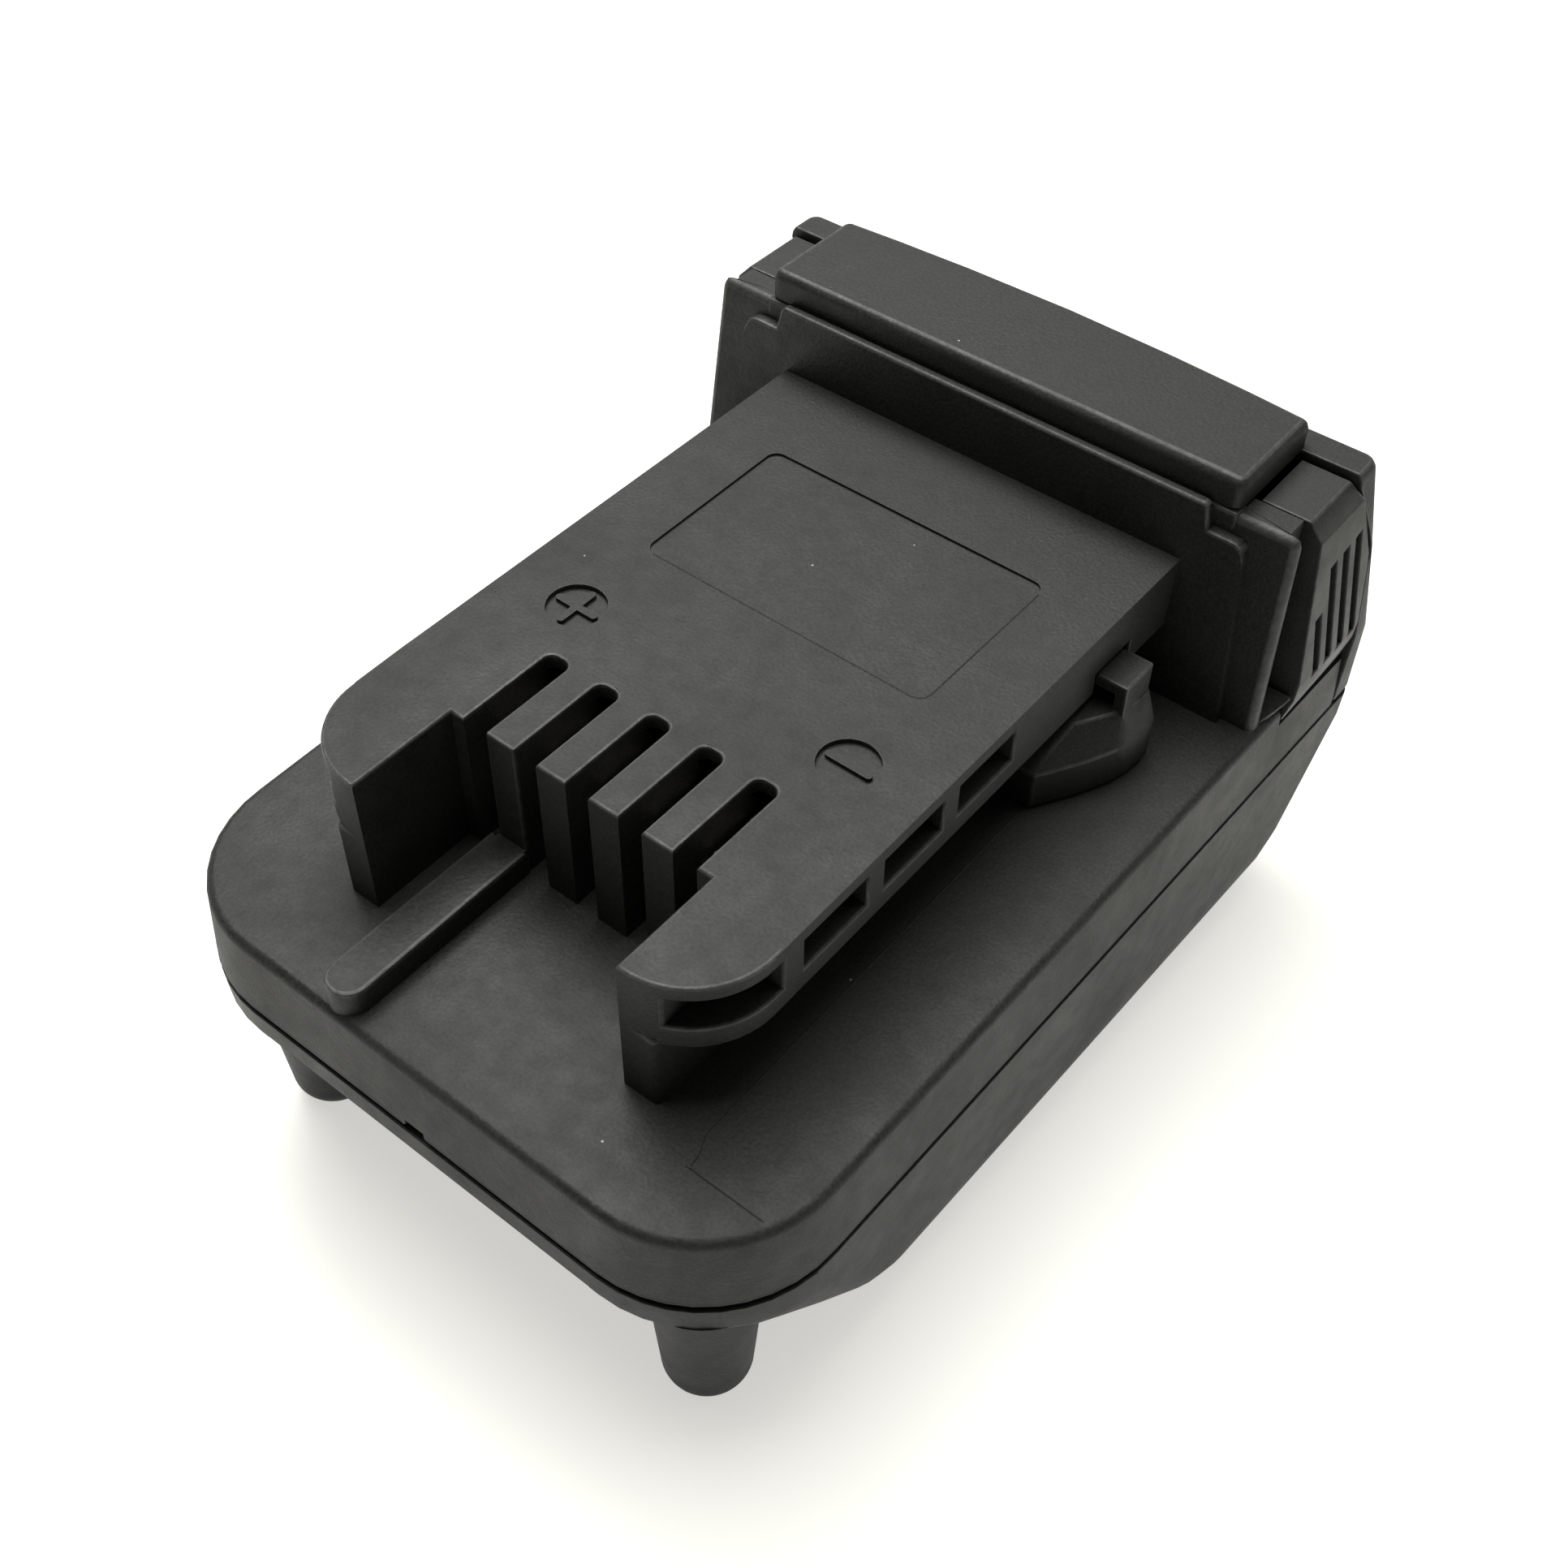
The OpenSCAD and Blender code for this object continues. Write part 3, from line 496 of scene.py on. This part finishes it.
def finished(bm: bmesh.types.BMesh, name: str, finish: Finish, body: Body, *nodes: str) -> bpy.types.Object:
    """Turn a mesh into a dressed piece that rides on its body.

    Args:
        bm: Mesh in metres, freed here.
        name: Name of the piece.
        finish: Finish of the piece.
        body: Body that it rides on.
        *nodes: Nodes that it stands for.

    Returns:
        The new object.
    """
    for face in bm.faces:
        face.smooth = True
    for edge in bm.edges:
        edge.smooth = edge.is_manifold and edge.calc_face_angle(0.0) < CREASE
    mesh = bpy.data.meshes.new(name)
    bm.to_mesh(mesh)
    bm.free()
    mesh.materials.append(finish.material())
    piece = bpy.data.objects.new(name, mesh)
    bpy.context.scene.collection.objects.link(piece)
    normals = piece.modifiers.new("even_normals", "WEIGHTED_NORMAL")
    normals.keep_sharp = True
    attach(piece, body.value)
    if nodes:
        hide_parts(*nodes)
    LOG.info("%s: %d faces", name, len(mesh.polygons))
    return piece


def softened(node: str, finish: Finish, edge: float, body: Body = Body.HOUSING) -> bpy.types.Object:
    """Make a piece whose outer edges are all rounded alike.

    Args:
        node: Node that the piece stands for.
        finish: Finish of the piece.
        edge: Width of the rounding in millimetres.
        body: Body that it rides on.

    Returns:
        The new object.
    """
    return Moulding(node, finish, body, (Softening(edge),)).build()


@dataclass
class WitnessLine:
    """Fine raised line that a joint between two mould inserts leaves."""

    name: str
    points: tuple[Triple, ...]
    out: Triple
    width: float = 0.24
    height: float = 0.06
    sunk: float = 0.01

    def build(self) -> bpy.types.Object:
        """Draw the line's ridge along its points.

        Returns:
            The new object.
        """
        bm = bmesh.new()
        out = Vector(self.out)
        points = [Vector(p) for p in self.points]
        edges: list[bmesh.types.BMEdge] = []
        for i, point in enumerate(points):
            run = points[min(i + 1, len(points) - 1)] - points[max(i - 1, 0)]
            across = run.cross(out).normalized() * self.width / 2
            foot = point - self.sunk * out
            row = [foot - across, point + self.height * out, foot + across]
            if edges:
                grown = bmesh.ops.extrude_edge_only(bm, edges=edges)["geom"]
                edges = [g for g in grown if isinstance(g, bmesh.types.BMEdge)]
                verts = list(dict.fromkeys(v for e in edges for v in e.verts))
            else:
                verts = [bm.verts.new(c) for c in row]
                edges = [bm.edges.new(verts[0:2]), bm.edges.new(verts[1:3])]
            for vert, place in zip(verts, row):
                vert.co = place * MM
        bmesh.ops.recalc_face_normals(bm, faces=bm.faces)
        return finished(bm, self.name, Finish.HOUSING, Body.HOUSING)


@dataclass
class Housing:
    """Upper housing, lower housing and rear cover, with places and edge widths in millimetres."""

    split_z: float = 30.0
    seam_low: float = 1.3
    seam_high: float = 0.05
    deck_z: float = 40.0
    rail_top: float = 58.8
    head_top: float = 66.0
    panel_top: float = 68.0
    frame_back: float = 36.2
    frame_in: float = 39.3
    frame_out: float = 42.2
    disc_x: float = 18.4
    disc_y: float = -14.6
    disc_reach: float = 4.2
    lift: float = 0.3
    slack: float = 0.1
    seam_edge: float = 0.22
    cover_edge: float = 0.3
    rail_edge: float = 0.35
    disc_edge: float = 0.05
    rib_edge: float = 0.5
    frame_edge: float = 0.9
    panel_edge: float = 0.4
    room_edge: float = 0.14

    def build(self) -> None:
        """Make the three shells and the fine lines that their mould leaves."""
        band = Zone((-FAR, -FAR, self.split_z - self.seam_low), (FAR, FAR, self.split_z + self.seam_high))
        seam = Softening(self.seam_edge, (band,))
        upper = (seam, *self.rail(), *self.head())
        Moulding("upper_housing", Finish.HOUSING, softenings=upper).build()
        Moulding("lower_housing", Finish.HOUSING, softenings=(seam,)).build()
        softened("rear_cover", Finish.HOUSING, self.cover_edge)
        for line in self.lines():
            line.build()

    def lines(self) -> tuple[WitnessLine, ...]:
        """Fine lines on the deck, at the front corner and round the label recess."""
        deck, rail = self.deck_z, self.rail_top
        side = ((27.3, 6.0, deck), (27.3, -47.4, deck), (27.7, -48.4, deck),
                (28.2, -49.4, deck), (28.4, -51.0, deck))
        front = ((28.0, -51.3, deck), (37.4, -51.3, deck))
        corner = ((38.12, -51.05, 39.4), (38.75, -51.31, 30.5))
        label = ((-17.6, -3.0, rail), (17.5, -3.0, rail), (18.3, -2.8, rail),
                 (18.9, -2.2, rail), (19.1, -1.4, rail), (19.1, 18.6, rail))
        return (WitnessLine("insert_line_side", side, UP),
                WitnessLine("insert_line_front", front, UP),
                WitnessLine("insert_line_corner", corner, (0.75, -0.66, 0.0)),
                WitnessLine("label_line", label, UP))

    def rail(self) -> tuple[Softening, ...]:
        """Edges of the rail, of its polarity discs and of the coding rib."""
        low, top, reach = self.deck_z + self.lift, self.rail_top + self.slack, self.disc_reach
        discs = tuple(Zone((s.value * self.disc_x - reach, self.disc_y - reach, 57.0),
                           (s.value * self.disc_x + reach, self.disc_y + reach, 60.0)) for s in Side)
        rail = Zone((-29.0, -50.0, low), (29.0, 31.0, top))
        rib = Zone((-14.0, -61.0, low), (-8.0, -33.0, self.deck_z + 4.0))
        label = Zone((-19.4, -3.2, self.rail_top - 0.6), (19.4, 20.5, top))
        return (Softening(self.rail_edge, (rail,), (*discs, rib, label)),
                Softening(self.disc_edge, discs),
                Softening(self.rib_edge, (rib,)))

    def head(self) -> tuple[Softening, ...]:
        """Edges of the head's frame, of its panel and of the room behind it."""
        low, top = self.deck_z + self.lift, self.head_top + self.slack
        sides = []
        for side in Side:
            left, right = sorted((side.value * self.frame_in, side.value * self.frame_out))
            sides.append(Zone((left, 32.8, self.deck_z - self.slack), (right, self.frame_back, top)))
        over = Zone((-40.3, 35.2, self.head_top - 1.3), (40.3, self.frame_back, top))
        panel = Zone((-39.0, 31.0, low), (39.0, self.frame_back, self.panel_top))
        rear = Zone((-45.0, 34.3, low), (45.0, 42.0, self.panel_top))
        return (Softening(self.frame_edge, (*sides, over), segments=3),
                Softening(self.panel_edge, (panel,)),
                Softening(self.room_edge, (rear,)))


@dataclass
class Spring:
    """Coil spring along X between the guide and one latch slide."""

    side: Side
    seat: Triple = (5.5, 44.0, 34.9)
    length: float = 9.0
    coil: float = 1.6
    wire: float = 0.3
    turns: int = 5
    turn_steps: int = 28
    wire_sides: int = 12
    travel: float = 4.0

    def build(self) -> bpy.types.Object:
        """Wind the wire.

        Returns:
            The new object.
        """
        steps = self.turns * self.turn_steps
        pitch = (self.length - 2 * self.wire) / steps
        x = self.seat[0] + self.wire
        bm = bmesh.new()
        ring = bmesh.ops.create_circle(
            bm, segments=self.wire_sides, radius=self.wire * MM, cap_ends=True)["verts"]
        bmesh.ops.translate(bm, verts=ring, vec=Vector((x, self.seat[1] + self.coil, self.seat[2])) * MM)
        bmesh.ops.spin(bm, geom=bm.faces[:], cent=Vector((x, *self.seat[1:])) * MM, axis=(1.0, 0.0, 0.0),
                       dvec=(pitch * MM, 0.0, 0.0), angle=math.tau * self.turns, steps=steps)
        bmesh.ops.scale(bm, verts=bm.verts, vec=(self.side.value, 1.0, 1.0))
        bmesh.ops.recalc_face_normals(bm, faces=bm.faces)
        node = "latch_spring_" + self.side.word
        piece = finished(bm, node + "_piece", Finish.SPRING, Body.HOUSING, node)
        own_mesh(piece)
        return piece


@dataclass
class Latches:
    """Both latch slides, their buttons and springs, and the guide between them."""

    slide_edge: float = 0.3
    button_edge: float = 0.25
    guide_edge: float = 0.25

    def build(self) -> None:
        """Make the pieces of both sides."""
        for side in Side:
            softened("latch_slide_" + side.word, Finish.LATCH, self.slide_edge, side.body)
            softened("release_button_" + side.word, Finish.LATCH, self.button_edge, side.body)
            Spring(side).build()
        softened("latch_guide", Finish.INNER, self.guide_edge)


@dataclass
class Contacts:
    """Contacts of the tool rail and of the battery bay, and the runners of the bay."""

    holder_edge: float = 0.2
    clip_edge: float = 0.05
    blade_edge: float = 0.08

    def build(self) -> None:
        """Make the carrier, the block, the runners and every contact."""
        for node in ("terminal_carrier", "battery_block", "battery_rail_left", "battery_rail_right"):
            softened(node, Finish.INNER, self.holder_edge)
        for i in range(1, 6):
            softened(f"tool_contact_{i}", Finish.CONTACT, self.clip_edge)
        for word in ("positive", "negative", "signal", "sense"):
            softened("battery_blade_" + word, Finish.CONTACT, self.blade_edge)
        for word in ("positive", "negative"):
            softened("busbar_" + word, Finish.CONTACT, self.blade_edge)


@dataclass
class Board:
    """Circuit board and what is soldered to it."""

    parts: dict[str, Finish] = field(default_factory=lambda: {
        "circuit_board": Finish.BOARD, "fuse": Finish.FUSE, "capacitor": Finish.SLEEVE, "choke": Finish.CORE,
        "power_switch_left": Finish.PACKAGE, "power_switch_right": Finish.PACKAGE})
    edge: float = 0.12

    def build(self) -> None:
        """Make the board and its parts."""
        for node, finish in self.parts.items():
            softened(node, finish, self.edge)


@dataclass
class Fasteners:
    """Screws and the catch plate."""

    kinds: tuple[str, ...] = (
        "guide_screw", "board_screw", "housing_screw_front", "housing_screw_mid", "cover_screw")
    screw_edge: float = 0.12
    plate_edge: float = 0.15

    def build(self) -> None:
        """Make every screw and the plate."""
        for kind in self.kinds:
            for side in Side:
                softened(f"{kind}_{side.word}", Finish.SCREW, self.screw_edge)
        softened("catch_plate", Finish.SCREW, self.plate_edge)


@dataclass
class Studio:
    """Pale floor, soft light and the camera."""

    eye: Triple = (0.09230, -0.12088, 0.19539)
    right: Triple = (0.7813, 0.6240, 0.0157)
    up: Triple = (-0.4666, 0.5672, 0.6787)
    ahead: Triple = (-0.4146, 0.5376, -0.7343)
    lens: float = 43.41
    bright: Triple = (-0.40, 0.36, 0.84)
    bright_level: float = 1.2
    dim_level: float = 0.12
    bright_from: float = 0.68
    tint: Triple = (1.0, 1.005, 0.955)
    aim: Triple = (0.0, 0.0, 0.03)
    floor_half: float = 3.0
    floor_colour: Triple = (0.64, 0.63, 0.61)
    floor_roughness: float = 0.9
    glow_colour: Triple = (1.0, 0.99, 0.95)
    glow: float = 0.57
    sensor: float = 36.0
    near: float = 0.005

    def build(self) -> None:
        """Make the floor, the light and the camera."""
        self.floor()
        self.lamps()
        self.camera()

    def floor(self) -> None:
        """Lay a pale floor that stays white where no shadow falls."""
        bm = bmesh.new()
        bmesh.ops.create_grid(bm, x_segments=1, y_segments=1, size=self.floor_half)
        mesh = bpy.data.meshes.new("floor")
        bm.to_mesh(mesh)
        bm.free()
        g = Graph("pale_floor")
        g.set(Base_Color=self.floor_colour, Roughness=self.floor_roughness)
        path = g.add("LightPath")
        seen = g.math("MAXIMUM", path.outputs["Is Camera Ray"], path.outputs["Is Glossy Ray"])
        seen = g.math("MAXIMUM", seen, path.outputs["Is Transmission Ray"])
        g.set(Emission_Color=self.glow_colour, Emission_Strength=g.math("MULTIPLY", seen, self.glow))
        mesh.materials.append(g.material)
        floor = bpy.data.objects.new("floor", mesh)
        bpy.context.scene.collection.objects.link(floor)

    def lamps(self) -> None:
        """Hang soft lamps and make a room that is bright above the tail and dim in front."""
        self.lamp("overhead", (-0.22, 0.18, 1.0), size=0.85, power=10.5)
        self.lamp("right_fill", (0.55, 0.75, 0.75), size=0.6, power=0.9)
        self.lamp("rear_window", (-0.50, 0.32, 1.0), size=0.4, power=5.5)
        world = bpy.data.worlds.new("soft_room")
        bpy.context.scene.world = world
        world.use_nodes = True
        tree = world.node_tree
        place = tree.nodes.new("ShaderNodeTexCoord").outputs["Generated"]
        facing = tree.nodes.new("ShaderNodeVectorMath")
        facing.operation = "DOT_PRODUCT"
        facing.inputs[1].default_value = self.bright
        tree.links.new(place, facing.inputs[0])
        level = tree.nodes.new("ShaderNodeMapRange")
        level.inputs["From Min"].default_value = self.bright_from
        level.inputs["To Min"].default_value = self.dim_level
        level.inputs["To Max"].default_value = self.bright_level
        tree.links.new(facing.outputs["Value"], level.inputs["Value"])
        tree.links.new(level.outputs["Result"], tree.nodes["Background"].inputs["Strength"])
        tree.nodes["Background"].inputs["Color"].default_value = (*self.tint, 1.0)

    def lamp(self, name: str, place: Triple, size: float, power: float) -> None:
        """Hang one square lamp that looks at the adapter.

        Args:
            name: Name of the lamp.
            place: Where it hangs, in metres.
            size: Length of its side.
            power: Power in watts.
        """
        data = bpy.data.lights.new(name, "AREA")
        data.shape = "SQUARE"
        data.size = size
        data.energy = power
        data.color = self.tint
        lamp = bpy.data.objects.new(name, data)
        lamp.location = place
        lamp.rotation_euler = (Vector(self.aim) - Vector(place)).to_track_quat("-Z", "Y").to_euler()
        bpy.context.scene.collection.objects.link(lamp)

    def camera(self) -> None:
        """Set the camera at the photographed angle."""
        data = bpy.data.cameras.new("photo_camera")
        data.sensor_width = self.sensor
        data.lens = self.lens
        data.clip_start = self.near
        camera = bpy.data.objects.new("photo_camera", data)
        turn = Matrix((self.right, self.up, [-c for c in self.ahead])).transposed()
        camera.matrix_world = Matrix.Translation(self.eye) @ turn.to_4x4()
        bpy.context.scene.collection.objects.link(camera)
        bpy.context.scene.camera = camera


def main() -> None:
    """Build the adapter and its studio."""
    logging.basicConfig(level=logging.INFO, format="%(name)s %(message)s")
    bpy.context.scene.view_settings.view_transform = "Standard"
    Studio().build()
    for assembly in (Housing(), Latches(), Contacts(), Board(), Fasteners()):
        assembly.build()


if __name__ == "__main__":
    main()
